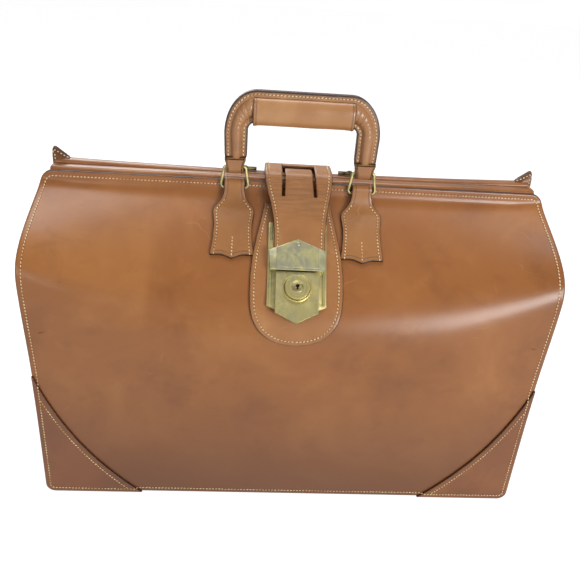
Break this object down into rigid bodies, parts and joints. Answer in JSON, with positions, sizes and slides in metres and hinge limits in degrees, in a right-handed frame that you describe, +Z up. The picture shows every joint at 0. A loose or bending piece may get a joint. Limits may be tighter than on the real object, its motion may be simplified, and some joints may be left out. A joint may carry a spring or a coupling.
{
  "type": "briefcase",
  "caption": "Leather top-frame briefcase with a bulging front, hinged jaws, a closing strap with hasp and push lock, and a padded handle on rings.",
  "frame": {"origin": "middle of the base, on the surface that the case stands on", "axes": "+X along the width to the right as seen from the front, +Y to the back, +Z up; the lock faces -Y"},
  "size_m": [0.43, 0.2022, 0.3568],
  "materials": {
    "leather_tan": "glossy bridle leather with cream stitching",
    "leather_dark": "glossy leather of the gussets, base and frame ends",
    "lining": "thin suede lining",
    "brass": "polished, slightly tarnished",
    "steel": "plain steel of the frame and lock works",
    "board": "pressed fibre board"
  },
  "bodies": {
    "case": {"base_panel": "leather_dark", "base_board": "board", "front_panel_lower": "leather_tan", "back_panel_lower": "leather_tan", "gusset_lower_left": "leather_dark", "gusset_lower_right": "leather_dark", "corner_patch_front_left": "leather_tan", "corner_patch_front_right": "leather_tan", "corner_patch_back_left": "leather_tan", "corner_patch_back_right": "leather_tan", "lining_lower": "lining"},
    "front_side": {"front_panel_upper": "leather_tan", "gusset_front_left": "leather_dark", "gusset_front_right": "leather_dark", "front_frame": "steel", "front_frame_cover": "leather_tan", "frame_pivot_pins": "brass", "lining_front": "lining", "handle_tab_left": "leather_tan", "handle_tab_right": "leather_tan", "lock_patch": "leather_tan", "lock_base_plate": "brass", "lock_case": "brass", "button_spring": "steel", "lock_backing_plate": "steel"},
    "back_side": {"back_panel_upper": "leather_tan", "gusset_back_left": "leather_dark", "gusset_back_right": "leather_dark", "back_frame": "steel", "back_frame_cover": "leather_tan", "lining_back": "lining", "frame_end_cap_left": "leather_dark", "frame_end_cap_right": "leather_dark", "strap_anchor": "leather_tan", "clip_base_left": "brass", "clip_base_right": "brass"},
    "strap": {"closing_strap": "leather_tan", "hasp": "brass", "hasp_staple": "steel", "hasp_rivet": "brass"},
    "ring_left": {"handle_ring_left": "brass"},
    "ring_right": {"handle_ring_right": "brass"},
    "handle": {"handle_core": "board", "handle_leather": "leather_tan", "grip_sleeve": "leather_tan"},
    "clip_left": {"clip_lever_left": "brass"},
    "clip_right": {"clip_lever_right": "brass"},
    "button": {"lock_button": "brass"},
    "key": {"key_plug": "brass"},
    "bolt": {"lock_bolt": "steel"}
  },
  "joints": [
    {"name": "front_open", "type": "hinge", "parent": "case", "child": "front_side", "pos_m": [0, -0.09879, 0.168], "axis": [1, 0, 0], "range_deg": [0, 28]},
    {"name": "back_open", "type": "hinge", "parent": "case", "child": "back_side", "pos_m": [0, 0.09879, 0.168], "axis": [1, 0, 0], "range_deg": [-28, 0]},
    {"name": "strap_lift", "type": "hinge", "parent": "back_side", "child": "strap", "pos_m": [0, 0.0152, 0.2883], "axis": [-1, 0, 0], "range_deg": [0, 60], "deforming": ["closing_strap"]},
    {"name": "ring_left_swing", "type": "hinge", "parent": "front_side", "child": "ring_left", "pos_m": [-0.0535, -0.0188, 0.274], "axis": [1, 0, 0], "range_deg": [0, 90]},
    {"name": "ring_right_swing", "type": "hinge", "parent": "front_side", "child": "ring_right", "pos_m": [0.0535, -0.0188, 0.274], "axis": [1, 0, 0], "range_deg": [0, 90]},
    {"name": "handle_swing", "type": "hinge", "parent": "ring_left", "child": "handle", "pos_m": [-0.0535, -0.0188, 0.292], "axis": [1, 0, 0], "range_deg": [-15, 35]},
    {"name": "clip_left_turn", "type": "hinge", "parent": "back_side", "child": "clip_left", "pos_m": [-0.0455, 0.0062, 0.2838], "axis": [0, 0, 1], "range_deg": [-90, 0]},
    {"name": "clip_right_turn", "type": "hinge", "parent": "back_side", "child": "clip_right", "pos_m": [0.0455, 0.0062, 0.2838], "axis": [0, 0, 1], "range_deg": [0, 90]},
    {"name": "button_press", "type": "slide", "parent": "front_side", "child": "button", "axis": [0, 0.72, -0.694], "range_m": [0, 0.0016], "stiffness_N_per_m": 400, "deforming": ["button_spring"]},
    {"name": "key_turn", "type": "hinge", "parent": "button", "child": "key", "pos_m": [0, -0.08242, 0.21394], "axis": [0, -0.72, 0.694], "range_deg": [0, 90]},
    {"name": "bolt_throw", "type": "slide", "parent": "front_side", "child": "bolt", "axis": [0, 0.694, 0.72], "range_m": [0, 0.005]}
  ],
  "couplings": [
    {"joint": "back_open", "follows": "front_open", "ratio": -1},
    {"joint": "strap_lift", "follows": "front_open", "ratio": 2.142},
    {"joint": "ring_right_swing", "follows": "ring_left_swing", "ratio": 1},
    {"joint": "key_turn", "follows": "bolt_throw", "rad_per_m": 314.16}
  ]
}
